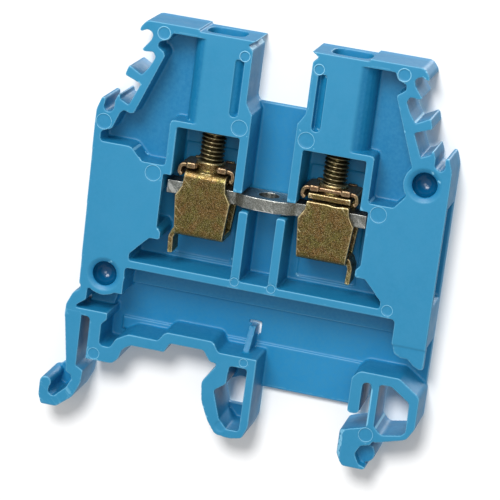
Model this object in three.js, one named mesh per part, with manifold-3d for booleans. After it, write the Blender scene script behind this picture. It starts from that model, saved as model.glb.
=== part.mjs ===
// Feed-through terminal block for a 35 mm top-hat rail: an open-sided moulded housing 6 mm thick,
// a tinned current bar, and two rising clamp cages, each worked by its own captive screw.
//
// Millimetres, +Z up and away from the rail. X runs across the rail, from one wire entry to the
// other. The open side of the housing faces -Y and its closed wall is at +Y. The origin is the
// middle of the rail's seat, halfway through the block's thickness.

import * as THREE from 'three';
import { mergeVertices } from 'three/addons/utils/BufferGeometryUtils.js';
import Module from 'manifold-3d';

const wasm = await Module();
wasm.setup();

// ---------------------------------------------------------------- driving dimensions

const THICKNESS = 6;
const WALL = 0.8;
const FRONT = -THICKNESS / 2;
const BACK = THICKNESS / 2;
const FLOOR = BACK - WALL;
const RECESS_FLOOR = 0.2;
const PANEL_FLOOR = 2.4;
const MARK_DEPTH = 0.08;
const OVER = 0.5;

const RAIL_OFFSET = 2.15;

const TOWER_TOP = 41.2;
const CARRIER_TOP = 41.5;
const PANEL_TOP = 33.4;
const HALF_WIDTH = 21.1;

const AXIS_LEFT = -7.3;
const AXIS_RIGHT = 7.4;
const AXIS_Y = -0.37;
const COLUMN_RADIUS = 3.45;

const WINDOW_TOP = 29.75;
const POCKET_BOTTOM = 12.95;
const CHANNEL_TOP = 12.0;
const RIB_TOP = 21.3;
const PRONG_BOTTOM = 23.4;
const PRONG_INNER = 2.65;
const PRONG_OUTER = 3.75;

const WELL_LENGTH = 4.6;
const WELL_WIDTH = 3.8;
const WELL_BOTTOM = 35.6;
const HEAD_BORE_RADIUS = 2.0;
const HEAD_BORE_BOTTOM = 32.4;
const SHANK_BORE_RADIUS = 1.75;

const FUNNEL_HALF_DEPTH = 2.2;

const BAR_BOTTOM = 21.6;
const BAR_TOP = 23.1;
const BAR_END = 11.9;
const BAR_HOLE_RADIUS = 1.25;

const STRIP = 0.7;
const CAGE_HALF_DEPTH = 2.28;
const CAGE_HALF_WIDTH = 2.7;
const CAGE_BOTTOM = 17.1;
const CAGE_FREE_EDGE = 23.9;
const LEAF_BOTTOM = 24.2;
const LEAF_TOP = 24.8;
const SADDLE_BOTTOM = 25.1;
const SADDLE_TOP = 25.7;
const SADDLE_HALF_WIDTH = 3.25;
const SADDLE_HALF_DEPTH = 1.95;
const CLEARANCE_HOLE = 1.75;

const SCREW_TIP = 23.4;
const SCREW_RADIUS = 1.45;
const THREAD_DEPTH = 0.28;
const THREAD_PITCH = 0.5;
const THREAD_START = 23.7;
const THREAD_TURNS = 17;
const HEAD_BOTTOM = 32.8;
const HEAD_TOP = 34.8;
const HEAD_RADIUS = 1.7;
const SLOT_WIDTH = 0.6;
const SLOT_DEPTH = 0.9;

const ARM_TOP = 4.9;
const BLOCK_BOTTOM = 5.2;

const ARC_STEP = Math.PI / 9;
const ROUND_SIDES = 24;
const SCREW_SIDES = 18;

// ---------------------------------------------------------------- materials

const plastic = new THREE.MeshStandardMaterial({ color: 0x3f93c2, roughness: 0.45, metalness: 0 });
const tinned = new THREE.MeshStandardMaterial({ color: 0x9a9c96, roughness: 0.38, metalness: 0.9 });
const yellowed = new THREE.MeshStandardMaterial({ color: 0x8d7b45, roughness: 0.42, metalness: 0.9 });

// ---------------------------------------------------------------- solid modelling helpers

// A closed three.js geometry as a solid that can be joined and cut.
function toSolid(geometry) {
  geometry.deleteAttribute('normal');
  geometry.deleteAttribute('uv');
  const merged = mergeVertices(geometry, 1e-5);
  const corners = [];
  for (let i = 0; i < merged.index.count; i += 3) {
    const triangle = [merged.index.getX(i), merged.index.getX(i + 1), merged.index.getX(i + 2)];
    if (new Set(triangle).size === 3) corners.push(...triangle);
  }
  const mesh = new wasm.Mesh({
    numProp: 3,
    vertProperties: new Float32Array(merged.attributes.position.array),
    triVerts: new Uint32Array(corners),
  });
  return new wasm.Manifold(mesh);
}

// The two tangent points and the arc between them that round one corner of an outline.
// A radius too large for its edges is cut down to fit.
function roundedCorner([beforeX, beforeY], [x, y, radius = 0], [afterX, afterY]) {
  const corner = new THREE.Vector2(x, y);
  if (radius === 0) return [corner];
  const back = new THREE.Vector2(beforeX, beforeY).sub(corner);
  const on = new THREE.Vector2(afterX, afterY).sub(corner);
  const room = Math.min(back.length(), on.length()) / 2;
  back.normalize();
  on.normalize();
  const half = Math.acos(THREE.MathUtils.clamp(back.dot(on), -1, 1)) / 2;
  const reach = Math.min(radius / Math.tan(half), room);
  const trueRadius = reach * Math.tan(half);
  const inward = back.clone().add(on).normalize();
  const centre = corner.clone().addScaledVector(inward, trueRadius / Math.sin(half));
  const start = corner.clone().addScaledVector(back, reach).sub(centre).angle();
  const turn = (Math.PI - 2 * half) * Math.sign(on.cross(back));
  const steps = Math.max(1, Math.ceil(Math.abs(turn) / ARC_STEP));
  return Array.from({ length: steps + 1 }, (_, i) => {
    const angle = start + (turn * i) / steps;
    return new THREE.Vector2(Math.cos(angle), Math.sin(angle)).multiplyScalar(trueRadius).add(centre);
  });
}

// A closed outline from [across, up, corner radius] points.
function outline(corners) {
  return new THREE.Shape(corners.flatMap((corner, i) => roundedCorner(
    corners.at(i - 1),
    corner,
    corners[(i + 1) % corners.length],
  )));
}

function mirrored(corners) {
  return corners.map(([x, up, radius]) => [-x, up, radius]).reverse();
}

// An outline in the XZ plane, carried through the thickness from yFront to yBack.
function prism(corners, yFront = FRONT, yBack = BACK) {
  const options = { depth: yBack - yFront, bevelEnabled: false };
  const geometry = new THREE.ExtrudeGeometry(outline(corners), options);
  geometry.rotateX(Math.PI / 2);
  geometry.translate(0, yBack, 0);
  return toSolid(geometry);
}

// An outline in the XY plane, raised from zBottom to zTop.
function slab(corners, zBottom, zTop) {
  const options = { depth: zTop - zBottom, bevelEnabled: false };
  const geometry = new THREE.ExtrudeGeometry(outline(corners), options);
  geometry.translate(0, 0, zBottom);
  return toSolid(geometry);
}

// An outline in the YZ plane, carried along X from xStart to xEnd.
function bar(corners, xStart, xEnd) {
  const options = { depth: xEnd - xStart, bevelEnabled: false };
  const geometry = new THREE.ExtrudeGeometry(outline(corners), options);
  geometry.rotateX(Math.PI / 2);
  geometry.rotateZ(Math.PI / 2);
  geometry.translate(xStart, 0, 0);
  return toSolid(geometry);
}

function box(x0, x1, y0, y1, z0, z1) {
  const geometry = new THREE.BoxGeometry(x1 - x0, y1 - y0, z1 - z0);
  geometry.translate((x0 + x1) / 2, (y0 + y1) / 2, (z0 + z1) / 2);
  return toSolid(geometry);
}

// A round bar or cone along Y: frontRadius at y0 and backRadius at y1.
function roundAlongY(x, z, frontRadius, backRadius, y0, y1) {
  const geometry = new THREE.CylinderGeometry(backRadius, frontRadius, y1 - y0, ROUND_SIDES);
  geometry.translate(x, (y0 + y1) / 2, z);
  return toSolid(geometry);
}

function ball(x, y, z, radius) {
  const geometry = new THREE.SphereGeometry(radius, ROUND_SIDES, ROUND_SIDES / 2);
  geometry.translate(x, y, z);
  return toSolid(geometry);
}

function roundAlongZ(x, y, radius, z0, z1, sides = ROUND_SIDES) {
  const geometry = new THREE.CylinderGeometry(radius, radius, z1 - z0, sides);
  geometry.rotateX(Math.PI / 2);
  geometry.translate(x, y, (z0 + z1) / 2);
  return toSolid(geometry);
}

function join(first, ...others) {
  return others.reduce((whole, piece) => whole.add(piece), first);
}

function cut(whole, ...tools) {
  return tools.reduce((rest, tool) => rest.subtract(tool), whole);
}

function toMesh(name, solid, material) {
  const { vertProperties, triVerts } = solid.getMesh();
  const geometry = new THREE.BufferGeometry();
  geometry.setAttribute('position', new THREE.BufferAttribute(vertProperties, 3));
  geometry.setIndex(new THREE.BufferAttribute(triVerts, 1));
  geometry.computeVertexNormals();
  const mesh = new THREE.Mesh(geometry, material);
  mesh.name = name;
  return mesh;
}

// ---------------------------------------------------------------- housing, upper half

// One side of the silhouette, from the side face over the marker teeth to the tower's inner face.
const CARRIER_SIDE = [
  [21.05, 28.6, 0.8],
  [21.0, 30.3, 0.8],
  [20.5, 31.75, 0.25],
  [20.0, 31.7, 0.25],
  [20.2, 30.13, 0.6],
  [18.97, 30.13, 0.6],
  [18.95, 31.5],
  [18.5, 32.65, 0.15],
  [18.3, 31.85, 0.15],
  [17.25, 31.35, 0.1],
  [16.1, 34.0, 0.15],
  [18.1, 34.75, 0.15],
  [17.75, 36.0, 0.2],
  [16.1, 35.1, 0.15],
  [15.3, 36.2, 0.4],
  [14.75, 37.4, 0.3],
  [15.05, 37.95, 0.2],
  [16.2, 37.85, 0.1],
  [16.45, 38.05, 0.1],
  [15.45, 39.35, 0.4],
  [15.3, 40.2, 0.5],
  [16.1, 40.45, 0.4],
  [17.05, 39.95, 0.25],
  [16.85, 40.7, 0.4],
  [16.2, CARRIER_TOP, 0.6],
  [10.0, CARRIER_TOP],
  [10.0, TOWER_TOP],
  [3.25, TOWER_TOP],
  [4.1, 40.65],
  [3.5, 40.05],
  [3.5, 34.0, 0.4],
  [PRONG_INNER, 32.6, 0.5],
];

function bodySlab() {
  return prism([
    [17.05, CHANNEL_TOP, 0.5],
    [17.05, 9.05],
    [HALF_WIDTH, 9.05],
    ...CARRIER_SIDE,
    ...mirrored(CARRIER_SIDE),
    [-20.75, 9.1, 0.3],
    [-20.4, 8.65, 0.2],
    [-15.4, 8.65],
    [-15.4, CHANNEL_TOP, 0.4],
  ]);
}

// The shallow recess on each side of the towers.
const LEFT_RECESS = [
  [-8.5, 40.5],
  [-13.0, 40.5, 0.3],
  [-13.4, 39.65, 0.4],
  [-14.4, 39.3, 0.3],
  [-14.7, 38.75, 0.35],
  [-13.85, 38.2, 0.3],
  [-13.65, 37.7, 0.3],
  [-16.5, 30.45, 0.25],
  [-17.0, 30.35, 0.2],
  [-17.75, 30.6, 0.2],
  [-18.15, 30.2, 0.2],
  [-18.9, 28.2, 0.6],
  [-20.2, 27.7, 0.5],
  [-20.1, 26.55, 0.4],
  [-16.4, 26.55, 0.9],
  [-14.9, 25.0, 0.7],
  [-12.1, 25.0, 0.4],
  [-12.1, 30.5, 0.4],
  [-8.5, 30.5],
];

const RIGHT_RECESS = [
  [8.5, 40.5],
  [13.0, 40.5, 0.3],
  [13.4, 39.65, 0.4],
  [14.4, 39.3, 0.3],
  [14.5, 38.65, 0.35],
  [13.45, 37.9, 0.3],
  [16.35, 30.1],
  [17.0, 28.2],
  [16.05, 26.4, 0.3],
  [14.95, 25.0, 0.5],
  [12.05, 25.0, 0.4],
  [12.05, 30.5, 0.4],
  [8.5, 30.5],
];

// The rounded column that wraps one screw well, flush with both faces.
function column(axisX) {
  const shaft = roundAlongZ(axisX, 0, COLUMN_RADIUS, 30.2, TOWER_TOP, 32);
  return shaft.intersect(box(-HALF_WIDTH, HALF_WIDTH, FRONT, BACK, 0, CARRIER_TOP));
}

// The narrow groove between a column and the tower's inner rib.
function towerGroove(side) {
  const groove = [[4.35, 32.1, 0.5], [5.35, 32.1, 0.5], [5.35, 38.9, 0.3], [4.35, 38.6]];
  return prism(side > 0 ? groove : mirrored(groove), FRONT - OVER, -1.5);
}

// Driver well, head bore and shank bore, one above the other.
function screwWell(axisX) {
  const halfLength = WELL_LENGTH / 2;
  const halfWidth = WELL_WIDTH / 2;
  const well = slab([
    [axisX - halfLength, -halfWidth, 1.3],
    [axisX + halfLength, -halfWidth, 1.3],
    [axisX + halfLength, halfWidth, 1.3],
    [axisX - halfLength, halfWidth, 1.3],
  ], WELL_BOTTOM, TOWER_TOP + OVER);
  return join(
    well,
    roundAlongZ(axisX, AXIS_Y, HEAD_BORE_RADIUS, HEAD_BORE_BOTTOM, WELL_BOTTOM + OVER),
    roundAlongZ(axisX, AXIS_Y, SHANK_BORE_RADIUS, WINDOW_TOP - OVER, HEAD_BORE_BOTTOM + OVER),
  );
}

// Windows, clamp pockets and the gap between the towers, as one open space.
function clampSpace() {
  const rightHalf = [
    [15.1, POCKET_BOTTOM, 0.3],
    [15.1, 13.75, 0.4],
    [12.9, 16.1],
    [11.7, 16.1, 0.2],
    [11.7, 17.0, 0.2],
    [12.2, 17.6, 0.3],
    [12.2, 24.0],
    [11.2, 24.0],
    [11.2, WINDOW_TOP],
    [PRONG_OUTER, WINDOW_TOP],
    [PRONG_OUTER, PRONG_BOTTOM],
    [PRONG_INNER, PRONG_BOTTOM],
    [PRONG_INNER, PANEL_TOP],
  ];
  const space = prism([...rightHalf, ...mirrored(rightHalf)], FRONT - OVER, FLOOR);
  return cut(space, middleRib(-2.2), middleRib(2.3));
}

function middleRib(x) {
  const rib = [
    [x - 0.55, POCKET_BOTTOM - OVER],
    [x + 0.55, POCKET_BOTTOM - OVER],
    [x + 0.55, RIB_TOP, 0.3],
    [x - 0.55, RIB_TOP, 0.3],
  ];
  return prism(rib, FRONT, FLOOR + OVER);
}

// The slightly thinner panel in each clamp pocket's closed wall.
function pocketPanel(side) {
  const panel = [
    [3.95, 13.45, 0.4],
    [11.1, 13.45, 0.4],
    [11.1, 27.2, 0.4],
    [3.95, 27.2, 0.4],
  ];
  return prism(side > 0 ? panel : mirrored(panel), FLOOR - 0.2, PANEL_FLOOR);
}

// A wire entry: a wide mouth in the side face that narrows to a tunnel into the clamp pocket.
function wireFunnel(side) {
  const funnel = [
    [HALF_WIDTH + OVER, 13.8],
    [HALF_WIDTH + OVER, 26.05],
    [14.6, 22.0],
    [11.9, 22.0],
    [11.9, 17.6],
    [14.6, 17.6],
  ];
  return prism(side > 0 ? funnel : mirrored(funnel), -FUNNEL_HALF_DEPTH, FUNNEL_HALF_DEPTH);
}

// Blind hole with a small countersink and a bowl-shaped bottom, for the pin of the next block.
function pinSocket(x, z) {
  const radius = 1.45;
  const mouth = 0.35;
  const bowlCentre = FRONT + 0.8;
  return join(
    roundAlongY(x, z, radius, radius, FRONT - OVER, bowlCentre),
    roundAlongY(x, z, 2.05, radius, FRONT - 0.01, FRONT + mouth),
    ball(x, bowlCentre, z, radius),
  );
}

// ---------------------------------------------------------------- housing, lower half

// The closed wall below the body, behind the channel and the feet.
function lowerWall() {
  return prism([
    [-20.6, 9.2],
    [-20.2, 5.5],
    [-17.9, 5.5],
    [-17.9, 1.2],
    [-15.6, 1.2],
    [-14.6, 3.1],
    [-10.2, 3.3],
    [-9.2, 4.5],
    [-4.7, 4.5],
    [-3.4, 3.3],
    [0.9, 3.3],
    [0.9, -0.75],
    [12.9, -0.75],
    [13.4, 0.3],
    [13.4, 4.5],
    [18.4, 4.6],
    [20.8, 3.2],
    [HALF_WIDTH, 3.2],
    [HALF_WIDTH, 9.3],
    [17.3, 9.3],
    [17.3, 12.3],
    [-15.7, 12.3],
    [-15.7, 9.2],
  ], FLOOR, BACK);
}

// Steps on the inside of the lower wall: the ledge under the main rib and the thicker foot zone.
function wallSteps() {
  const ledge = box(-15.7, 17.3, 1.5, FLOOR + 0.3, 9.05, 12.3);
  const footZone = join(
    box(-16.1, -9.4, 1.95, FLOOR + 0.3, 3.0, 4.5),
    box(-4.2, 0.95, 1.95, FLOOR + 0.3, 3.0, 4.5),
    box(0.9, 13.3, 1.95, FLOOR + 0.3, -0.75, 4.5),
  );
  const cheek = prism([
    [-20.1, 5.5],
    [-17.4, 5.5, 0.3],
    [-16.9, 7.2, 0.8],
    [-16.9, 9.2],
    [-20.1, 9.2],
  ], 1.0, FLOOR + 0.3);
  return join(ledge, footZone, cheek);
}

// Seat pad, lower rim and the outline of the middle foot.
function rimAndMiddleFoot() {
  return prism([
    [-18.9, 0.0],
    [-15.6, 0.0, 0.6],
    [-14.95, 0.7, 0.5],
    [-14.55, 2.0, 0.6],
    [-13.6, 2.65, 0.4],
    [-9.5, 2.65, 0.2],
    [-8.9, 3.85, 0.4],
    [-4.8, 3.85, 0.4],
    [-3.9, 2.6, 0.3],
    [-3.1, 2.55],
    [-3.1, 2.2],
    [-4.6, 0.0, 1.2],
    [-4.3, -2.4, 2.0],
    [-3.3, -4.6, 2.0],
    [-2.2, -6.1, 0.9],
    [-0.4, -6.3, 0.6],
    [1.1, -6.0, 0.6],
    [1.7, -4.4, 1.0],
    [1.7, 3.95, 0.2],
    [-3.0, 3.95, 0.4],
    [-3.8, 5.15, 0.7],
    [-9.6, 5.15, 0.9],
    [-10.4, 3.95, 0.4],
    [-14.0, 4.0, 1.2],
    [-15.5, 3.1, 0.6],
    [-16.1, 1.95, 0.5],
    [-17.45, 1.95, 0.5],
    [-17.45, 4.55, 0.3],
    [-16.85, 5.2, 0.3],
    [-16.85, 6.05],
    [-22.05, 6.05],
    [-22.05, BLOCK_BOTTOM],
    [-18.9, BLOCK_BOTTOM, 0.5],
  ]);
}

function middleFootOpening() {
  return prism([
    [-1.45, 2.6, 0.4],
    [0.7, 2.6, 0.4],
    [0.6, -5.2, 0.3],
    [-0.9, -5.2, 0.3],
    [-1.9, -4.1, 0.4],
    [-2.95, -0.75, 0.3],
    [-1.6, 0.3, 0.3],
  ], FRONT - OVER, BACK + OVER);
}

// The webs that close the two ends of the middle foot's opening; the upper one's edge is arched.
function middleFootWebs() {
  const lower = prism([
    [-3.0, -3.6],
    [0.9, -3.6],
    [0.9, -5.6],
    [-2.2, -5.6],
  ], FLOOR, BACK);
  const upper = prism([
    [-1.9, 2.9],
    [-2.1, -0.6],
    [-0.9, 0.0, 1.2],
    [0.9, -0.7],
    [0.9, 2.9],
  ], FLOOR, BACK);
  return join(lower, upper);
}

// A sloping gusset from the rim up to the wall above the middle foot.
function gusset() {
  return bar([[-1.6, 3.6], [FLOOR + 0.3, 3.6], [FLOOR + 0.3, 6.65], [1.0, 6.65]], -0.5, 0.25);
}

// The L-shaped slit through the wall beside the gusset.
function wallSlit() {
  return join(
    box(-0.85, 0.65, 1.0, BACK + OVER, 6.65, 7.05),
    box(0.25, 0.65, 1.0, BACK + OVER, 5.4, 7.05),
  );
}

// The curved spring link that carries the top corner of the left foot.
function springLink() {
  return prism([
    [-20.5, 9.0],
    [-20.55, 8.35, 0.2],
    [-21.35, 7.8, 0.8],
    [-22.0, 6.3, 0.5],
    [-22.05, 5.8],
    [-20.95, 5.8],
    [-20.7, 6.4, 0.3],
    [-19.65, 7.2, 0.4],
    [-19.6, 9.0],
  ]);
}

// The right foot: finger, slot, thin wall and the springy loop around it.
function rightLoop() {
  const ring = prism([
    [13.05, -0.1, 0.35],
    [14.45, -0.1, 0.5],
    [14.45, 3.85, 0.45],
    [15.5, 3.85, 0.4],
    [15.5, -2.6],
    [16.9, -3.15, 0.3],
    [20.4, -2.1, 0.9],
    [21.25, -0.6, 0.7],
    [21.25, 3.3, 0.9],
    [18.6, 5.15, 0.9],
    [13.9, 5.15, 0.9],
    [13.05, 4.2, 0.6],
  ]);
  const opening = prism([
    [16.45, 3.9, 0.2],
    [17.8, 3.95, 0.4],
    [20.1, 2.4, 0.4],
    [20.2, -1.2, 0.4],
    [19.7, -1.65, 0.3],
    [17.4, -2.1, 0.7],
    [16.45, -1.2, 0.4],
  ], FRONT - OVER, BACK + OVER);
  return ring.subtract(opening);
}

// The fixed hook that goes under the rail's edge, its outer front corner chamfered, with the
// round stub in its notch.
function rightHook() {
  const left = 12.45;
  const hook = prism([
    [left, -2.5, 0.4],
    [13.6, -2.05, 0.2],
    [15.5, -1.5],
    [16.6, -1.6],
    [16.6, -3.1],
    [16.3, -3.6, 0.2],
    [15.2, -3.9, 0.5],
    [14.65, -5.0, 0.8],
    [15.3, -6.15, 0.4],
    [16.3, -6.5, 0.1],
    [15.8, -6.75, 0.2],
    [13.4, -6.75, 0.4],
    [left, -5.5, 0.4],
  ]);
  const chamfer = 0.55;
  const corner = slab([
    [left - OVER, FRONT + chamfer + OVER],
    [left - OVER, FRONT - OVER],
    [left + chamfer + OVER, FRONT - OVER],
  ], -7.2, -1.0);
  return join(hook.subtract(corner), roundAlongY(15.75, -5.0, 1.15, 1.15, -1.8, BACK));
}

// The thin skin that hangs from the body's front face at the lower right.
function frontTab() {
  return prism([
    [17.05, 9.3],
    [17.45, 7.95, 0.5],
    [18.4, 7.5, 0.5],
    [19.1, 7.6, 0.3],
    [19.8, 6.9, 0.5],
    [20.7, 6.5, 0.4],
    [HALF_WIDTH, 6.7],
    [HALF_WIDTH, 9.3],
  ], FRONT + 0.1, FRONT + 0.9);
}

// Shallow round ejector marks in the front faces, as [x, z, radius].
function ejectorMarks() {
  const pairs = [
    [14.05, 40.35, 0.75],
    [4.35, 39.3, 0.7],
    [3.95, 30.95, 0.95],
    [13.4, 23.9, 1.0],
    [2.2, 12.8, 0.65],
  ];
  const singles = [
    [-19.95, 28.9, 0.95],
    [16.0, 12.9, 0.65],
    [0.15, 3.3, 0.6],
    [-18.0, 0.8, 0.7],
    [-1.6, -5.0, 0.7],
    [15.65, -2.4, 0.95],
  ];
  const all = [...singles, ...pairs, ...pairs.map(([x, z, radius]) => [-x, z, radius])];
  return all.map(([x, z, radius]) => (
    roundAlongY(x, z, radius, radius, FRONT - OVER, FRONT + MARK_DEPTH)
  ));
}

function housing() {
  const solid = join(
    bodySlab(),
    roundAlongY(-17.85, 10.7, 2.55, 2.55, FRONT, BACK),
    prism([[-3.6, 31], [3.6, 31], [3.6, PANEL_TOP], [-3.6, PANEL_TOP]], FLOOR, BACK),
    lowerWall(),
    rimAndMiddleFoot(),
    springLink(),
    rightLoop(),
    rightHook(),
    frontTab(),
  );
  const opened = cut(
    solid,
    prism(LEFT_RECESS, FRONT - OVER, RECESS_FLOOR),
    prism(RIGHT_RECESS, FRONT - OVER, RECESS_FLOOR),
    clampSpace(),
    towerGroove(-1),
    towerGroove(1),
    pocketPanel(-1),
    pocketPanel(1),
    middleFootOpening(),
  );
  const filled = join(
    opened,
    column(AXIS_LEFT),
    column(AXIS_RIGHT),
    roundAlongY(18.1, 28.2, 2.45, 2.45, FRONT, BACK),
    wallSteps(),
    middleFootWebs(),
    gusset(),
  );
  return cut(
    filled,
    screwWell(AXIS_LEFT),
    screwWell(AXIS_RIGHT),
    wireFunnel(-1),
    wireFunnel(1),
    pinSocket(18.1, 28.2),
    pinSocket(-17.85, 10.7),
    wallSlit(),
    ...ejectorMarks(),
  );
}

// ---------------------------------------------------------------- left foot

// The springy arm of the left foot: a straight stem, the hook under the rail's edge, and the
// pocket for a screwdriver's tip, with its back web and round lug.
function footArm() {
  const arm = prism([
    [-22.03, ARM_TOP],
    [-21.3, -0.5, 0.5],
    [-21.15, -2.05, 0.2],
    [-20.5, -2.4, 0.2],
    [-20.35, -2.9, 0.3],
    [-20.9, -4.1, 0.8],
    [-22.4, -5.55, 0.4],
    [-23.05, -5.1, 0.3],
    [-22.95, -4.0],
    [-24.2, -3.8],
    [-24.2, -5.6, 0.5],
    [-23.8, -6.7, 0.3],
    [-21.9, -6.7, 0.8],
    [-20.0, -5.1, 1.5],
    [-19.2, -3.3, 1.0],
    [-19.05, -1.6, 0.3],
    [-20.0, -1.1, 0.1],
    [-20.0, ARM_TOP],
  ]);
  const web = prism([
    [-24.1, -3.9],
    [-22.9, -2.75, 0.3],
    [-21.0, -2.3],
    [-20.0, -3.0],
    [-22.0, -6.0],
    [-23.6, -6.0],
  ], FLOOR, BACK);
  const lug = roundAlongY(-23.5, -3.9, 0.7, 0.7, FRONT, BACK);
  return join(arm, web, lug);
}

// ---------------------------------------------------------------- current bar

// Seen from above: wide with a bulged front edge between the towers, narrow through the cages.
function currentBar() {
  const front = -1.6;
  const rear = 0.86;
  const plan = [
    [-BAR_END, front],
    [-3.6, front, 0.6],
    [-2.5, -2.3, 0.2],
    [-1.3, -2.6, 1.0],
    [1.3, -2.6, 1.0],
    [2.5, -2.3, 0.2],
    [3.6, front, 0.6],
    [BAR_END, front],
    [BAR_END, rear],
    [3.5, rear, 0.4],
    [2.4, 1.9, 0.4],
    [-2.4, 1.9, 0.4],
    [-3.5, rear, 0.4],
    [-BAR_END, rear],
  ];
  const hole = roundAlongZ(0, -0.3, BAR_HOLE_RADIUS, BAR_BOTTOM - OVER, BAR_TOP + OVER, SCREW_SIDES);
  return slab(plan, BAR_BOTTOM, BAR_TOP).subtract(hole);
}

// ---------------------------------------------------------------- clamp, about its screw's axis

// Shield-shaped plate that makes one side of the cage, up to the given height.
function cagePlate(top, yFront, yBack) {
  const half = [
    [2.9, CAGE_BOTTOM, 0.2],
    [3.3, 21.7, 0.2],
    [2.6, 22.9, 0.2],
    [2.5, top, 0.15],
  ];
  return prism([...half, ...mirrored(half)], yFront, yBack);
}

// A strip folded into a cage around the bar. One side's top edge is free; the other side bends
// over into the leaf that the screw passes through. A narrow tail closes the gap below.
function cage() {
  const inner = CAGE_HALF_DEPTH - STRIP;
  const leaf = box(-2.5, 2.5, -CAGE_HALF_DEPTH, inner, LEAF_BOTTOM, LEAF_TOP);
  const floorPlate = box(
    -CAGE_HALF_WIDTH,
    CAGE_HALF_WIDTH,
    -CAGE_HALF_DEPTH,
    CAGE_HALF_DEPTH,
    CAGE_BOTTOM,
    CAGE_BOTTOM + STRIP,
  );
  const tail = prism([
    [-2.5, 17.75],
    [-3.1, 17.5, 0.4],
    [-3.55, 16.7, 0.4],
    [-3.55, 15.0, 0.15],
    [-3.1, 15.0, 0.15],
    [-3.1, 16.5, 0.3],
    [-2.7, 17.1, 0.2],
    [-2.3, 17.35],
  ], -1.8, 1.2);
  const body = join(
    cagePlate(LEAF_TOP, -CAGE_HALF_DEPTH, -inner),
    cagePlate(CAGE_FREE_EDGE, inner, CAGE_HALF_DEPTH),
    floorPlate,
    leaf,
    tail,
  );
  return body.subtract(screwClearance());
}

// The loose leaf on top of the cage, its two ends curled down past the cage's edges.
function saddle() {
  const curl = 0.45;
  const half = [
    [SADDLE_HALF_WIDTH - curl, SADDLE_BOTTOM],
    [SADDLE_HALF_WIDTH - curl, 24.1],
    [SADDLE_HALF_WIDTH, 24.1, 0.15],
    [SADDLE_HALF_WIDTH, SADDLE_TOP, 0.5],
  ];
  const leaf = prism([...half, ...mirrored(half)], -SADDLE_HALF_DEPTH, SADDLE_HALF_DEPTH);
  return leaf.subtract(screwClearance());
}

function screwClearance() {
  return roundAlongZ(0, 0, CLEARANCE_HOLE, CAGE_FREE_EDGE, SADDLE_TOP + OVER);
}

// Slotted clamp screw: the thread is a stack of rings at the thread's pitch.
function clampScrew() {
  const root = SCREW_RADIUS - THREAD_DEPTH;
  const profile = [[0, SCREW_TIP], [root - 0.2, SCREW_TIP], [root, SCREW_TIP + 0.2]];
  for (let turn = 0; turn < THREAD_TURNS; turn += 1) {
    const base = THREAD_START + turn * THREAD_PITCH;
    profile.push([root, base]);
    profile.push([SCREW_RADIUS, base + THREAD_PITCH / 2]);
  }
  profile.push([root, HEAD_BOTTOM - 0.4]);
  profile.push([root, HEAD_BOTTOM]);
  profile.push([HEAD_RADIUS, HEAD_BOTTOM]);
  profile.push([HEAD_RADIUS, HEAD_TOP - 0.2]);
  profile.push([HEAD_RADIUS - 0.2, HEAD_TOP]);
  profile.push([0, HEAD_TOP]);
  const points = profile.map(([radius, height]) => new THREE.Vector2(radius, height));
  const lathe = new THREE.LatheGeometry(points, SCREW_SIDES);
  lathe.rotateX(Math.PI / 2);
  const slot = box(
    -HEAD_RADIUS - OVER,
    HEAD_RADIUS + OVER,
    -SLOT_WIDTH / 2,
    SLOT_WIDTH / 2,
    HEAD_TOP - SLOT_DEPTH,
    HEAD_TOP + OVER,
  );
  return toSolid(lathe).subtract(slot);
}

// A clamp is one cage, its saddle and its screw. The two clamps are the same set, turned half a
// turn, so that each cage's tail points at its own wire entry.
function clamp(side, axisX, turned) {
  const group = new THREE.Group();
  group.add(toMesh(`clamp_cage_${side}`, cage(), yellowed));
  group.add(toMesh(`saddle_leaf_${side}`, saddle(), yellowed));
  group.add(toMesh(`clamp_screw_${side}`, clampScrew(), yellowed));
  group.position.set(axisX, AXIS_Y, 0);
  group.rotation.z = turned ? Math.PI : 0;
  return group;
}

// ---------------------------------------------------------------- assembly

const block = new THREE.Group();
block.add(toMesh('housing', housing(), plastic));
block.add(toMesh('spring_foot_left', footArm(), plastic));
block.add(toMesh('current_bar', currentBar(), tinned));
block.add(clamp('left', AXIS_LEFT, false));
block.add(clamp('right', AXIS_RIGHT, true));
block.position.x = RAIL_OFFSET;

const terminalBlock = new THREE.Group();
terminalBlock.add(block);

export default terminalBlock;
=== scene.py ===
"""DIN rail terminal block: the finished look of every piece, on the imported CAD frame."""

import math

import bmesh
import bpy
from mathutils import Matrix, Vector


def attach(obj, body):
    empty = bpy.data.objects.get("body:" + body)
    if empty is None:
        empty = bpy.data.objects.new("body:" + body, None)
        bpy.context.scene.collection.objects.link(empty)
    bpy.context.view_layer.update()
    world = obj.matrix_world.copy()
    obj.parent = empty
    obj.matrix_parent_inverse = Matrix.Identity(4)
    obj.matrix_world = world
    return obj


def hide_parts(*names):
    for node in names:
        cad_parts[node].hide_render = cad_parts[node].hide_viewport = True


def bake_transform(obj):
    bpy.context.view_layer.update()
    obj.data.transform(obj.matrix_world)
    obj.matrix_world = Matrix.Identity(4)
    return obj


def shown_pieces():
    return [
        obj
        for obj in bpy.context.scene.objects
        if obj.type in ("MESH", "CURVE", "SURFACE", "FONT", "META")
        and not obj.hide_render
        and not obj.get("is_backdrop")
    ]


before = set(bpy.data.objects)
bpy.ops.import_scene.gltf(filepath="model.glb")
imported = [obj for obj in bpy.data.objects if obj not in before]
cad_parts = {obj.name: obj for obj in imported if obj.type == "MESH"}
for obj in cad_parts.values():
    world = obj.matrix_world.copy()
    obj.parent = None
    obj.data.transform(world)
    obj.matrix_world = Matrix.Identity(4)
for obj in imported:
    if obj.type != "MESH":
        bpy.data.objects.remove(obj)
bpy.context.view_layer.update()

MM = 0.001

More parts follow.
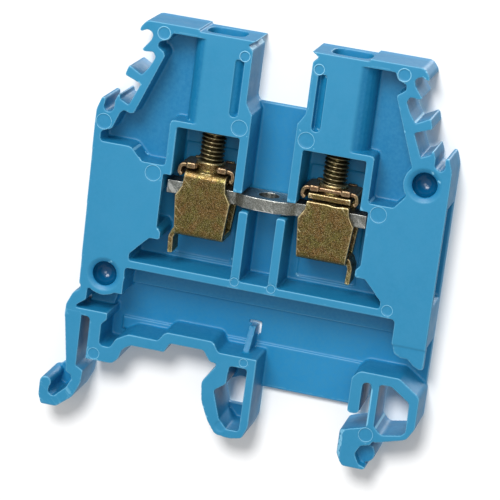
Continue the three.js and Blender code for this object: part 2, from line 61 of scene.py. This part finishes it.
# All sizes below are millimetres. X runs along the block, Y from the open side to the
# closed wall, and Z up from the rail. The block's middle is RAIL_OFFSET along X from the
# rail's.
RAIL_OFFSET = 2.15
FRONT = -3.0
BACK = 3.0

# Both clamps stand at AXIS_Y, each at its own X and turned by its own angle about Z.
AXIS_Y = -0.37
CLAMPS = {"left": (-7.3, 0.0), "right": (7.4, math.pi)}

# The cage: a folded strip, widest at CAGE_SHOULDER and narrowed above CAGE_NECK.
STRIP = 0.7
CAGE_HALF_DEPTH = 1.93
CAGE_BOTTOM = 17.1
CAGE_FLOOR_DROP = 0.15
CAGE_SHOULDER = 21.7
CAGE_NECK = 22.9
CAGE_FREE_EDGE = 23.9
LEAF_MIDDLE = 24.47

# The saddle: a thinner strip above the cage's leaf, with curled ends.
SADDLE_STRIP = 0.45
SADDLE_HALF_DEPTH = 1.95
SADDLE_END = 24.1
SADDLE_CURL = 24.5
SADDLE_MIDDLE = 25.4

SCREW_TIP = 23.4
SCREW_RADIUS = 1.45
THREAD_DEPTH = 0.3
THREAD_PITCH = 0.5
SHANK_TOP = 32.45
HEAD_BOTTOM = 32.8
HEAD_TOP = 34.8
HEAD_RADIUS = 1.7
SLOT_DEPTH = 0.9

# The corner of the housing that the left foot's stem grows from, and where the stem bends.
# The corner stands ROOT_PROUD of the housing's sides, so that the two don't flicker together.
FOOT_ROOT = {"x": (-22.05, -20.0), "z": (4.7, 5.7)}
ROOT_PROUD = 0.012

# Ejector pin marks on the open side, as (x, z, radius).
SHARP_MARKS = [
    (-14.05, 40.35, 0.75),
    (14.05, 40.35, 0.75),
    (-4.35, 39.3, 0.6),
    (4.35, 39.3, 0.6),
]
FAINT_MARKS = [
    (-19.95, 28.9, 0.92),
    (-3.95, 30.95, 0.95),
    (3.95, 30.95, 0.95),
    (-13.4, 23.9, 0.95),
    (13.4, 23.9, 0.95),
    (-2.2, 12.8, 0.5),
    (2.2, 12.8, 0.5),
    (16.0, 12.9, 0.65),
    (-18.0, 0.8, 0.7),
    (0.15, 3.3, 0.5),
    (15.65, -2.4, 0.85),
]
# The radius of the line round a mark, and how far its centre lies behind the surface.
SHARP_LINE = 0.07
FAINT_LINE = 0.04
LINE_SINK = 0.02

# Blind sockets on the open side, as (x, z). Their polished bowls start SOCKET_MOUTH behind
# its surface and end in front of SOCKET_END.
SOCKETS = [(-17.85, 10.7), (18.1, 28.2)]
SOCKET_RADIUS = 1.45
SOCKET_MOUTH = 0.35
SOCKET_END = 0.0


# ---------------------------------------------------------------- materials


class Shader:
    """A material's node tree, with short calls for the nodes used here."""

    def __init__(self, name):
        self.material = bpy.data.materials.new(name)
        self.material.use_nodes = True
        self.tree = self.material.node_tree
        self.surface = self.tree.nodes["Principled BSDF"]
        coordinates = self.tree.nodes.new("ShaderNodeTexCoord")
        self.place = coordinates.outputs["Object"]

    def link(self, source, target):
        self.tree.links.new(source, target)

    def set(self, **values):
        """Sets the surface's own sockets, whose names have a space for each underscore."""
        for name, value in values.items():
            self.surface.inputs[name.replace("_", " ")].default_value = value

    def noise(self, size_mm, detail=3.0, roughness=0.5, distortion=0.0):
        """Noise whose blobs are about size_mm across, from 0 to 1."""
        node = self.tree.nodes.new("ShaderNodeTexNoise")
        node.inputs["Scale"].default_value = 1.0 / (size_mm * MM)
        node.inputs["Detail"].default_value = detail
        node.inputs["Roughness"].default_value = roughness
        node.inputs["Distortion"].default_value = distortion
        self.link(self.place, node.inputs["Vector"])
        return node.outputs["Fac"]

    def cells(self, size_mm):
        """Distance to the nearest of scattered points about size_mm apart."""
        node = self.tree.nodes.new("ShaderNodeTexVoronoi")
        node.inputs["Scale"].default_value = 1.0 / (size_mm * MM)
        self.link(self.place, node.inputs["Vector"])
        return node.outputs["Distance"]

    def edges(self, low, high):
        """0 on flat and hollow surfaces, 1 on sharp outer edges."""
        geometry = self.tree.nodes.new("ShaderNodeNewGeometry")
        return self.span(geometry.outputs["Pointiness"], low, high, 0.0, 1.0)

    def depth(self, zero_at, one_at):
        """0 on one side of zero_at and 1 on the far side of one_at, both along Y."""
        split = self.tree.nodes.new("ShaderNodeSeparateXYZ")
        self.link(self.place, split.inputs[0])
        return self.span(split.outputs["Y"], zero_at * MM, one_at * MM, 0.0, 1.0)

    def inside(self, x, z, radius):
        """1 within radius of the line along Y through (x, z), and 0 outside."""
        fade = 0.08
        flat = self.tree.nodes.new("ShaderNodeVectorMath")
        flat.operation = "MULTIPLY"
        flat.inputs[1].default_value = (1.0, 0.0, 1.0)
        self.link(self.place, flat.inputs[0])
        away = self.tree.nodes.new("ShaderNodeVectorMath")
        away.operation = "DISTANCE"
        away.inputs[1].default_value = ((x + RAIL_OFFSET) * MM, 0.0, z * MM)
        self.link(flat.outputs["Vector"], away.inputs[0])
        reach = (radius + fade) * MM
        return self.span(away.outputs["Value"], radius * MM, reach, 1.0, 0.0)

    def span(self, value, low, high, to_low, to_high):
        """The value carried from low..high over to to_low..to_high, and held there."""
        node = self.tree.nodes.new("ShaderNodeMapRange")
        node.inputs["From Min"].default_value = low
        node.inputs["From Max"].default_value = high
        node.inputs["To Min"].default_value = to_low
        node.inputs["To Max"].default_value = to_high
        self.link(value, node.inputs["Value"])
        return node.outputs["Result"]

    def mix(self, factor, low, high):
        """A colour between low and high; each is a colour or a socket."""
        node = self.tree.nodes.new("ShaderNodeMix")
        node.data_type = "RGBA"
        self.link(factor, node.inputs["Factor"])
        for socket, value in ((node.inputs[6], low), (node.inputs[7], high)):
            if isinstance(value, tuple):
                socket.default_value = (*value, 1.0)
            else:
                self.link(value, socket)
        return node.outputs[2]

    def both(self, first, second):
        """1 where both masks are 1."""
        node = self.tree.nodes.new("ShaderNodeMath")
        node.operation = "MULTIPLY"
        self.link(first, node.inputs[0])
        self.link(second, node.inputs[1])
        return node.outputs["Value"]

    def blend(self, factor, low, high):
        """The value low where factor is 0 and the number high where it is 1."""
        node = self.tree.nodes.new("ShaderNodeMix")
        node.data_type = "FLOAT"
        self.link(factor, node.inputs[0])
        self.link(low, node.inputs[2])
        node.inputs[3].default_value = high
        return node.outputs[0]

    def bump(self, height, depth_mm, strength, under=None):
        """A normal bumped by height, on top of the normal under it if there is one."""
        node = self.tree.nodes.new("ShaderNodeBump")
        node.inputs["Distance"].default_value = depth_mm * MM
        node.inputs["Strength"].default_value = strength
        self.link(height, node.inputs["Height"])
        if under is not None:
            self.link(under, node.inputs["Normal"])
        return node.outputs["Normal"]

    def finish(self, colour, roughness, normal):
        """Feeds the surface and gives the finished material."""
        self.link(colour, self.surface.inputs["Base Color"])
        self.link(roughness, self.surface.inputs["Roughness"])
        self.link(normal, self.surface.inputs["Normal"])
        return self.material


def blue_moulding():
    """Satin blue polyamide: faint flow clouds, fine grain, painted highlights on sharp edges.

    The open side is paler with a painted sheen, the walls behind it are darker with painted
    shade, and the closed wall is the strongest blue. The two sockets' bowls are polished and
    darkened with painted shade.
    """
    shader = Shader("blue_moulding")
    shader.set(IOR=1.46)
    clouds = shader.span(shader.noise(7.0, 2.0), 0.3, 0.7, 0.0, 1.0)
    # Lit and shaded copies of one blue, chosen by depth. The first is painted shade on the
    # walls behind the open side, the second is a paler painted sheen on the open side itself,
    # and the third is the closed wall's stronger blue.
    wall_shade = shader.mix(clouds, (0.001, 0.148, 0.318), (0.003, 0.164, 0.342))
    front_sheen = shader.mix(clouds, (0.012, 0.183, 0.340), (0.018, 0.200, 0.362))
    floor = shader.mix(clouds, (0.003, 0.186, 0.395), (0.006, 0.200, 0.420))
    sunk = shader.mix(shader.depth(1.9, 1.2), floor, wall_shade)
    body = shader.mix(shader.depth(FRONT + 0.25, FRONT + 0.05), sunk, front_sheen)
    fine = shader.span(shader.noise(0.35, 4.0), 0.35, 0.65, 0.0, 0.5)
    speckled = shader.mix(fine, body, (0.020, 0.205, 0.375))
    # Sharp outer edges are painted paler: a painted highlight.
    colour = shader.mix(shader.edges(0.516, 0.570), speckled, (0.16, 0.43, 0.61))
    roughness = shader.span(shader.noise(1.6, 4.0), 0.3, 0.7, 0.38, 0.52)
    mouth = FRONT + SOCKET_MOUTH
    bowls = shader.both(
        shader.depth(mouth, mouth + 0.1), shader.depth(SOCKET_END + 0.2, SOCKET_END)
    )
    # Inside each socket's bowl the colour is darkened as painted shade; the lower roughness
    # is the bowl's polish.
    for x, z in SOCKETS:
        bowl = shader.both(bowls, shader.inside(x, z, SOCKET_RADIUS))
        colour = shader.mix(bowl, colour, (0.0005, 0.070, 0.175))
        roughness = shader.blend(bowl, roughness, 0.16)
    grain = shader.bump(shader.noise(0.11, 2.0), 0.010, 0.35)
    sink = shader.bump(shader.noise(3.5, 1.0), 0.06, 0.25, grain)
    return shader.finish(colour, roughness, sink)


def passivated_steel(name, dark, light, edge):
    """Yellow-passivated zinc: mottled and grainy, with painted glints and painted edge
    highlights.
    """
    shader = Shader(name)
    shader.set(Metallic=1.0)
    mottle = shader.span(shader.noise(0.13, 5.0, 0.75), 0.40, 0.62, 0.0, 1.0)
    stain = shader.span(shader.noise(1.4, 2.0, 0.5, 0.6), 0.38, 0.62, 0.0, 1.0)
    red, green, blue = light
    brown = (1.10 * red, 0.85 * green, 0.88 * blue)
    olive = (0.90 * red, 1.06 * green, 0.90 * blue)
    speckled = shader.mix(mottle, dark, shader.mix(stain, brown, olive))
    # Painted glints: small specks in the edge colour.
    glint = shader.span(shader.noise(0.08, 2.0), 0.60, 0.68, 0.0, 0.7)
    sparkling = shader.mix(glint, speckled, edge)
    # Sharp outer edges in the edge colour: a painted highlight.
    highlit_edges = shader.mix(shader.edges(0.508, 0.55), sparkling, edge)
    roughness = shader.span(shader.noise(0.22, 4.0), 0.3, 0.7, 0.30, 0.55)
    pits = shader.bump(shader.cells(0.14), 0.02, 0.5)
    grain = shader.bump(shader.noise(0.09, 3.0, 0.6), 0.03, 0.6, pits)
    return shader.finish(highlit_edges, roughness, grain)


def tinned_bar():
    """Dull tin on brass: grey with small dark pores, with painted glints and painted edge
    highlights.
    """
    shader = Shader("tinned_bar")
    shader.set(Metallic=1.0)
    # The pale colour of the painted glints and the painted edge highlight.
    highlight_tint = (0.85, 0.85, 0.80)
    cloud = shader.span(shader.noise(0.9, 4.0), 0.35, 0.65, 0.0, 1.0)
    base = shader.mix(cloud, (0.25, 0.26, 0.235), (0.37, 0.39, 0.37))
    pores = shader.span(shader.noise(0.12, 5.0, 0.7), 0.38, 0.62, 0.0, 1.0)
    tin = shader.mix(pores, (0.12, 0.125, 0.11), base)
    # Painted glints: small pale specks.
    glint = shader.span(shader.noise(0.09, 2.0), 0.60, 0.68, 0.0, 0.45)
    sparkling = shader.mix(glint, tin, highlight_tint)
    # Sharp outer edges painted pale: a painted highlight.
    highlit_edges = shader.mix(shader.edges(0.510, 0.56), sparkling, highlight_tint)
    roughness = shader.span(shader.noise(0.3, 4.0), 0.3, 0.7, 0.32, 0.55)
    grain = shader.bump(shader.noise(0.1, 4.0, 0.6), 0.03, 0.6)
    return shader.finish(highlit_edges, roughness, grain)


def paper():
    """Matt white paper that is clear from behind."""
    shader = Shader("paper")
    shader.set(Base_Color=(0.90, 0.90, 0.90, 1.0), Roughness=0.9)
    tree = shader.tree
    geometry = tree.nodes.new("ShaderNodeNewGeometry")
    clear = tree.nodes.new("ShaderNodeBsdfTransparent")
    side = tree.nodes.new("ShaderNodeMixShader")
    shader.link(geometry.outputs["Backfacing"], side.inputs[0])
    shader.link(shader.surface.outputs[0], side.inputs[1])
    shader.link(clear.outputs[0], side.inputs[2])
    shader.link(side.outputs[0], tree.nodes["Material Output"].inputs["Surface"])
    return shader.material


# ---------------------------------------------------------------- mesh helpers, in mm


def linked(name, mesh):
    """A new object with this mesh, in the scene."""
    piece = bpy.data.objects.new(name, mesh)
    bpy.context.scene.collection.objects.link(piece)
    return piece


def from_bmesh(name, shape):
    """A new object from a bmesh, with its faces turned outward."""
    mesh = bpy.data.meshes.new(name)
    bmesh.ops.recalc_face_normals(shape, faces=shape.faces)
    shape.to_mesh(mesh)
    shape.free()
    return linked(name, mesh)


def applied(piece):
    """Applies the piece's modifiers to its mesh."""
    graph = bpy.context.evaluated_depsgraph_get()
    graph.update()
    mesh = bpy.data.meshes.new_from_object(piece.evaluated_get(graph))
    old = piece.data
    piece.modifiers.clear()
    piece.data = mesh
    bpy.data.meshes.remove(old)
    return piece


def merged(name, pieces):
    """One object from several, each kept as it stands."""
    shape = bmesh.new()
    for piece in pieces:
        piece.data.transform(piece.matrix_world)
        shape.from_mesh(piece.data)
        bpy.data.objects.remove(piece)
    mesh = bpy.data.meshes.new(name)
    shape.to_mesh(mesh)
    shape.free()
    return linked(name, mesh)


def cad_copy(node):
    """A copy of the CAD node's shape in millimetres, about the block's middle."""
    weld = 0.002
    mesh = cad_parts[node].data.copy()
    mesh.materials.clear()
    place = Matrix.Translation((-RAIL_OFFSET, 0.0, 0.0)) @ Matrix.Scale(1.0 / MM, 4)
    mesh.transform(place)
    shape = bmesh.new()
    shape.from_mesh(mesh)
    bmesh.ops.remove_doubles(shape, verts=shape.verts, dist=weld)
    shape.to_mesh(mesh)
    shape.free()
    return linked(node + "_copy", mesh)


def moulded(piece, voxel, smoothing):
    """Skins the piece afresh, so that its edges and inner corners are softly rounded."""
    skin = piece.modifiers.new("skin", "REMESH")
    skin.mode = "VOXEL"
    skin.voxel_size = voxel
    soften = piece.modifiers.new("soften", "SMOOTH")
    soften.factor = 0.5
    soften.iterations = smoothing
    return applied(piece)


def rounded(piece, width):
    """Bevels the piece's edges."""
    edge = piece.modifiers.new("edge", "BEVEL")
    edge.width = width
    edge.segments = 3
    edge.limit_method = "ANGLE"
    edge.angle_limit = math.radians(35)
    return applied(piece)


def subtracted(piece, tool):
    """Cuts the tool out of the piece and removes the tool."""
    cutter = piece.modifiers.new("cut", "BOOLEAN")
    cutter.operation = "DIFFERENCE"
    cutter.solver = "EXACT"
    cutter.object = tool
    applied(piece)
    bpy.data.objects.remove(tool)
    return piece


def box_piece(name, low, high):
    """A plain box between two corners."""
    shape = bmesh.new()
    bmesh.ops.create_cube(shape, size=1.0)
    size = Vector(high) - Vector(low)
    middle = (Vector(high) + Vector(low)) / 2
    shape.transform(Matrix.Translation(middle) @ Matrix.Diagonal((*size, 1.0)))
    return from_bmesh(name, shape)


def skin_rings(name, rings):
    """A closed skin through equal rings of points, with a flat cap at each end."""
    shape = bmesh.new()
    loops = [[shape.verts.new(point) for point in ring] for ring in rings]
    count = len(rings[0])
    for lower, upper in zip(loops, loops[1:]):
        for i in range(count):
            j = (i + 1) % count
            shape.faces.new((lower[i], lower[j], upper[j], upper[i]))
    shape.faces.new(loops[0])
    shape.faces.new(loops[-1])
    return from_bmesh(name, shape)


def turned_piece(name, profile, sides=64):
    """A solid turned about Z through (radius, height) points, capped at both ends."""
    rings = []
    for radius, height in profile:
        ring = []
        for i in range(sides):
            angle = 2 * math.pi * i / sides
            ring.append((radius * math.cos(angle), radius * math.sin(angle), height))
        rings.append(ring)
    return skin_rings(name, rings)


def rounded_path(corners, steps=6):
    """Points and half widths along a path; each corner is (a, b, half width, radius)."""
    path = []
    last = len(corners) - 1
    for i, (a, b, half_width, radius) in enumerate(corners):
        here = Vector((a, b))
        if radius == 0 or i in (0, last):
            path.append((here, half_width))
            continue
        back = (Vector(corners[i - 1][:2]) - here).normalized()
        on = (Vector(corners[i + 1][:2]) - here).normalized()
        half = back.angle(on) / 2
        reach = radius / math.tan(half)
        centre = here + (back + on).normalized() * (radius / math.sin(half))
        start = here + back * reach - centre
        end = here + on * reach - centre
        for step in range(steps + 1):
            spoke = start.slerp(end, step / steps).normalized()
            path.append((centre + spoke * radius, half_width))
    return path


def folded_strip(name, corners, thickness, edge=0.1):
    """A strip folded along a path in the YZ plane, its width along X, its edges rounded."""
    path = rounded_path(corners)
    stations = []
    for i, (point, half_width) in enumerate(path):
        before = path[max(i - 1, 0)][0]
        after = path[min(i + 1, len(path) - 1)][0]
        stations.append((point, (after - before).normalized(), half_width))
    first, last = stations[0], stations[-1]
    rings = [strip_ring(*first, thickness, edge, edge)]
    rings += [strip_ring(*station, thickness, edge, 0.0) for station in stations[1:-1]]
    rings.append(strip_ring(*last, thickness, edge, edge))
    head = [strip_ring(first[0] + first[1] * edge, *first[1:], thickness, edge, 0.0)]
    tail = [strip_ring(last[0] - last[1] * edge, *last[1:], thickness, edge, 0.0)]
    return skin_rings(name, rings[:1] + head + rings[1:-1] + tail + rings[-1:])


def strip_ring(point, along, half_width, thickness, edge, shrink):
    """The strip's cross-section at one point: a rectangle with rounded corners."""
    across = Vector((-along.y, along.x))
    half = thickness / 2 - shrink
    wide = half_width - shrink
    ring = []
    for side_x, side_t in ((1, 1), (-1, 1), (-1, -1), (1, -1)):
        corner = math.atan2(side_t, side_x) - math.pi / 4
        for step in range(4):
            angle = corner + step * math.pi / 6
            x = side_x * (wide - edge) + edge * math.cos(angle)
            offset = side_t * (half - edge) + edge * math.sin(angle)
            place = point + across * offset
            ring.append((x, place.x, place.y))
    return ring


def shaded(piece, angle=None):
    """Smooth shading, with edges sharper than angle kept crisp."""
    for face in piece.data.polygons:
        face.use_smooth = True
    if angle is not None:
        piece.data.set_sharp_from_angle(angle=math.radians(angle))
    return piece


# ---------------------------------------------------------------- pieces


def witness_ring(x, z, radius, thickness):
    """The thin raised line that an ejector pin leaves around its mark."""
    around = 40
    across = 6
    centre_y = FRONT + LINE_SINK
    shape = bmesh.new()
    loops = []
    for i in range(around):
        angle = 2 * math.pi * i / around
        loop = []
        for j in range(across):
            tilt = 2 * math.pi * j / across
            reach = radius + thickness * math.cos(tilt)
            y = centre_y + thickness * math.sin(tilt)
            point = (x + reach * math.cos(angle), y, z + reach * math.sin(angle))
            loop.append(shape.verts.new(point))
        loops.append(loop)
    for i, loop in enumerate(loops):
        after = loops[(i + 1) % around]
        for j in range(across):
            k = (j + 1) % across
            shape.faces.new((loop[j], loop[k], after[k], after[j]))
    return from_bmesh("witness_ring", shape)


def housing():
    """The moulded body, softly rounded, with its ejector marks' raised lines."""
    body = moulded(cad_copy("housing"), voxel=0.1, smoothing=8)
    rings = [witness_ring(*mark, SHARP_LINE) for mark in SHARP_MARKS]
    rings += [witness_ring(*mark, FAINT_LINE) for mark in FAINT_MARKS]
    return shaded(merged("housing_moulding", [body, *rings]))


def spring_foot():
    """The foot's arm, carried up through the flexing corner into the housing."""
    arm = cad_copy("spring_foot_left")
    (left, right), (bottom, top) = FOOT_ROOT["x"], FOOT_ROOT["z"]
    root = box_piece(
        "root",
        (left, FRONT - ROOT_PROUD, bottom),
        (right, BACK + ROOT_PROUD, top),
    )
    whole = merged("spring_foot_moulding", [arm, root])
    return shaded(moulded(whole, voxel=0.08, smoothing=6))


def current_bar():
    """The bar's CAD shape, cleared of needless edges and softly rounded."""
    bar = cad_copy("current_bar")
    bar.name = "current_bar_tinned"
    shape = bmesh.new()
    shape.from_mesh(bar.data)
    bmesh.ops.dissolve_limit(
        shape, angle_limit=math.radians(1), verts=shape.verts, edges=shape.edges
    )
    shape.to_mesh(bar.data)
    shape.free()
    return shaded(moulded(bar, voxel=0.05, smoothing=4))


def cage(side):
    """Folded strip: one side bends over into the leaf, the other ends in a free edge."""
    name = "clamp_cage_" + side + "_folded"
    wall = CAGE_HALF_DEPTH
    floor = CAGE_BOTTOM + STRIP / 2 - CAGE_FLOOR_DROP
    strip = folded_strip(name, [
        (wall, CAGE_FREE_EDGE, 2.5, 0),
        (wall, CAGE_NECK, 2.6, 0),
        (wall, CAGE_SHOULDER, 3.3, 0),
        (wall, floor, 2.95, 0.38),
        (-wall, floor, 2.95, 0.38),
        (-wall, CAGE_SHOULDER, 3.3, 0),
        (-wall, CAGE_NECK, 2.6, 0),
        (-wall, LEAF_MIDDLE, 2.5, 0.55),
        (1.95, LEAF_MIDDLE, 2.5, 0),
    ], STRIP)
    strip = subtracted(strip, turned_piece("hole", [(1.55, 23.7), (1.55, 25.2)], 32))
    notch = turned_piece("notch", [(0.8, -0.6), (0.8, 0.6)], 32)
    flat = Matrix.Diagonal((1.0, 1.0, 0.2, 1.0))
    lying = Matrix.Rotation(math.pi / 2, 4, "X")
    notch.data.transform(Matrix.Translation((-0.9, wall, 23.93)) @ flat @ lying)
    strip = subtracted(strip, notch)
    collar = turned_piece("collar", [
        (1.5, 24.4),
        (2.0, 24.7),
        (1.68, 25.0),
        (1.66, 25.85),
        (1.55, 26.0),
        (1.5, 25.95),
    ])
    whole = merged(name, [strip, collar, tail()])
    return shaded(moulded(whole, voxel=0.05, smoothing=3))


def tail():
    """The narrow finger that hangs from the cage's outer corner."""
    outer = -3.35
    strip = folded_strip("tail", [
        (-2.5, 17.55, 1.35, 0),
        (-3.0, 17.35, 1.35, 0.3),
        (outer, 16.5, 1.35, 0.5),
        (outer + 0.1, 14.5, 1.35, 0),
    ], 0.6, 0.12)
    turn = Matrix.Rotation(math.radians(-90), 4, "Z")
    strip.data.transform(Matrix.Translation((0.0, -0.3, 0.0)) @ turn)
    return strip


def saddle(side):
    """The loose leaf: curled ends, two tabs on each long edge, and a hole for the screw."""
    depth = SADDLE_HALF_DEPTH
    sweep = folded_strip("leaf", [
        (-2.85, SADDLE_END, depth, 0),
        (-3.25, SADDLE_CURL, depth, 0.3),
        (-3.1, SADDLE_MIDDLE, depth, 0.5),
        (3.1, SADDLE_MIDDLE, depth, 0.5),
        (3.25, SADDLE_CURL, depth, 0.3),
        (2.85, SADDLE_END, depth, 0),
    ], SADDLE_STRIP, 0.12)
    sweep.data.transform(Matrix.Rotation(math.radians(-90), 4, "Z"))
    leaf = subtracted(sweep, turned_piece("hole", [(1.72, 24.9), (1.72, 26.2)], 32))
    leaf = subtracted(leaf, box_piece("mouth", (-1.2, -2.5, 24.9), (1.2, 0.0, 26.2)))
    tabs = []
    for across in (-1.85, 1.85):
        for along in (-1.9, 1.9):
            tab = box_piece(
                "tab",
                (across - 0.55, along - 0.3, 25.1),
                (across + 0.55, along + 0.3, 25.8),
            )
            tabs.append(rounded(tab, 0.16))
    whole = merged("saddle_leaf_" + side + "_curled", [leaf, *tabs])
    return shaded(moulded(whole, voxel=0.05, smoothing=3))


def thread_radius(angle, height):
    """The radius of a helical thread: flat crest, sloping flanks, rounded root."""
    turn = (height / THREAD_PITCH + angle / (2 * math.pi)) % 1.0
    flank = 1.0 - abs(2.0 * turn - 1.0)
    depth = min(1.0, max(0.0, 1.25 * flank - 0.08))
    fade = min(1.0, max(0.0, (height - SCREW_TIP) / 0.5), (SHANK_TOP - height) / 0.4)
    return SCREW_RADIUS - THREAD_DEPTH + THREAD_DEPTH * depth * max(0.0, fade)


def screw(side):
    """A helically threaded shank under a slotted cheese head."""
    sides = 48
    rows = 220
    rings = []
    for row in range(rows + 1):
        height = SCREW_TIP + (SHANK_TOP - SCREW_TIP) * row / rows
        ring = []
        for i in range(sides):
            angle = 2 * math.pi * i / sides
            radius = thread_radius(angle, height)
            ring.append((radius * math.cos(angle), radius * math.sin(angle), height))
        rings.append(ring)
    shank = skin_rings("shank", rings)
    head = turned_piece("head", [
        (1.1, 32.3),
        (1.1, HEAD_BOTTOM - 0.1),
        (1.2, HEAD_BOTTOM),
        (HEAD_RADIUS - 0.1, HEAD_BOTTOM),
        (HEAD_RADIUS, HEAD_BOTTOM + 0.1),
        (HEAD_RADIUS, HEAD_TOP - 0.3),
        (HEAD_RADIUS - 0.08, HEAD_TOP - 0.12),
        (HEAD_RADIUS - 0.3, HEAD_TOP),
    ])
    slot = box_piece(
        "slot", (-2.0, -0.3, HEAD_TOP - SLOT_DEPTH), (2.0, 0.3, HEAD_TOP + 0.5)
    )
    head = subtracted(head, slot)
    return shaded(merged("clamp_screw_" + side + "_threaded", [shank, head]), 40)


def placed(piece, material, node, body=None, side=None):
    """Puts a piece made in millimetres where its CAD node is, with finish and body."""
    place = Matrix.Scale(MM, 4) @ Matrix.Translation((RAIL_OFFSET, 0.0, 0.0))
    if side is not None:
        axis_x, turn = CLAMPS[side]
        place = place @ Matrix.Translation((axis_x, AXIS_Y, 0.0))
        place = place @ Matrix.Rotation(turn, 4, "Z")
    piece.data.transform(place)
    piece.data.materials.clear()
    piece.data.materials.append(material)
    if body is not None:
        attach(piece, body)
    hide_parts(node)
    return piece


# ---------------------------------------------------------------- camera, lights, backdrop


def camera():
    """Above and to the right of the open side, rolled as the block leans in the picture."""
    azimuth = math.radians(11.788)
    elevation = math.radians(15.938)
    roll = math.radians(7.548)
    distance = 302.97 * MM
    aim = Vector((0.691, 0.0, 16.095)) * MM
    flat = math.cos(elevation)
    back = Vector(
        (math.sin(azimuth) * flat, -math.cos(azimuth) * flat, math.sin(elevation))
    )
    right = (-back).cross(Vector((0.0, 0.0, 1.0))).normalized()
    up = right.cross(-back)
    rolled_right = math.cos(roll) * right + math.sin(roll) * up
    rolled_up = math.cos(roll) * up - math.sin(roll) * right
    lens = bpy.data.cameras.new("camera")
    lens.sensor_width = 36.0
    lens.lens = 186.94
    lens.clip_start = 0.01
    lens.clip_end = 10.0
    eye = bpy.data.objects.new("camera", lens)
    bpy.context.scene.collection.objects.link(eye)
    eye.location = aim + back * distance
    eye.rotation_mode = "QUATERNION"
    axes = Matrix((rolled_right, rolled_up, back)).transposed()
    eye.rotation_quaternion = axes.to_quaternion()
    bpy.context.scene.camera = eye


def soft_light(name, place, size, power, lit):
    """A round soft box aimed at the block, which lights only one collection's objects."""
    light = bpy.data.lights.new(name, "AREA")
    light.shape = "DISK"
    light.size = size
    light.energy = power
    lamp = bpy.data.objects.new(name, light)
    bpy.context.scene.collection.objects.link(lamp)
    lamp.light_linking.receiver_collection = lit
    lamp.location = place
    target = Vector((0.0, 0.0, 0.018))
    lamp.rotation_mode = "QUATERNION"
    lamp.rotation_quaternion = (Vector(place) - target).to_track_quat("Z", "Y")


def surroundings():
    """A pale room, a little dimmer towards the open side so that bare metal stays dark.

    The camera itself sees it as plain white.
    """
    world = bpy.data.worlds.new("room")
    bpy.context.scene.world = world
    world.use_nodes = True
    tree = world.node_tree
    place = tree.nodes.new("ShaderNodeTexCoord")
    split = tree.nodes.new("ShaderNodeSeparateXYZ")
    tree.links.new(place.outputs["Generated"], split.inputs[0])
    dim = tree.nodes.new("ShaderNodeMapRange")
    dim.inputs["From Min"].default_value = -1.0
    dim.inputs["From Max"].default_value = 0.1
    dim.inputs["To Min"].default_value = 0.55
    dim.inputs["To Max"].default_value = 0.62
    tree.links.new(split.outputs["Y"], dim.inputs["Value"])
    seen = tree.nodes.new("ShaderNodeLightPath")
    level = tree.nodes.new("ShaderNodeMix")
    level.data_type = "FLOAT"
    tree.links.new(seen.outputs["Is Camera Ray"], level.inputs["Factor"])
    tree.links.new(dim.outputs["Result"], level.inputs[2])
    level.inputs[3].default_value = 1.0
    background = tree.nodes["Background"]
    background.inputs["Color"].default_value = (1.0, 1.0, 1.0, 1.0)
    tree.links.new(level.outputs[0], background.inputs["Strength"])


def backdrop():
    """White paper just behind the block's closed wall, seen from the front only.

    It is hidden from bounced and shadow rays, so that the closed wall gets its light.
    """
    reach = 600 * MM
    sheet_y = (BACK + 0.1) * MM
    mesh = bpy.data.meshes.new("backdrop")
    corners = [
        (-reach, sheet_y, -reach),
        (reach, sheet_y, -reach),
        (reach, sheet_y, reach),
        (-reach, sheet_y, reach),
    ]
    mesh.from_pydata(corners, [], [(0, 1, 2, 3)])
    mesh.materials.append(paper())
    sheet = linked("backdrop", mesh)
    sheet.visible_glossy = False
    sheet.visible_diffuse = False
    sheet.visible_shadow = False
    sheet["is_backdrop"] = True
    return sheet


# ---------------------------------------------------------------- the scene

bpy.context.scene.view_settings.view_transform = "Standard"
camera()
surroundings()
paper_only = bpy.data.collections.new("paper_only")
paper_only.objects.link(backdrop())

blue = blue_moulding()
# The third colour given to each steel is its painted highlight, used on glints and sharp
# edges.
cage_steel = passivated_steel(
    "passivated_steel", (0.045, 0.030, 0.010), (0.26, 0.195, 0.066), (0.95, 0.80, 0.46)
)
leaf_steel = passivated_steel(
    "leaf_steel", (0.08, 0.05, 0.025), (0.30, 0.21, 0.12), (0.55, 0.40, 0.24)
)
screw_steel = passivated_steel(
    "screw_steel", (0.026, 0.021, 0.009), (0.12, 0.10, 0.045), (0.30, 0.25, 0.14)
)

placed(housing(), blue, "housing", "block")
foot = placed(spring_foot(), blue, "spring_foot_left")
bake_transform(foot)
placed(current_bar(), tinned_bar(), "current_bar", "block")
for side in CLAMPS:
    cage_body = "cage_" + side
    screw_body = "screw_" + side
    placed(
        cage(side), cage_steel, "clamp_cage_" + side, cage_body, side
    )
    placed(saddle(side), leaf_steel, "saddle_leaf_" + side, cage_body, side)
    placed(screw(side), screw_steel, "clamp_screw_" + side, screw_body, side)

# Each light's place and size are in metres, and its power in watts.
block_only = bpy.data.collections.new("block_only")
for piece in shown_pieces():
    block_only.objects.link(piece)
soft_light("key", (-0.07, -0.28, 0.27), 0.22, 1.4, block_only)
soft_light("fill", (0.06, -0.28, 0.10), 0.12, 0.18, block_only)
soft_light("rear", (0.10, 0.26, 0.22), 0.2, 0.8, block_only)
soft_light("paper_light", (-0.015, -0.35, 0.23), 0.12, 1.5, paper_only)
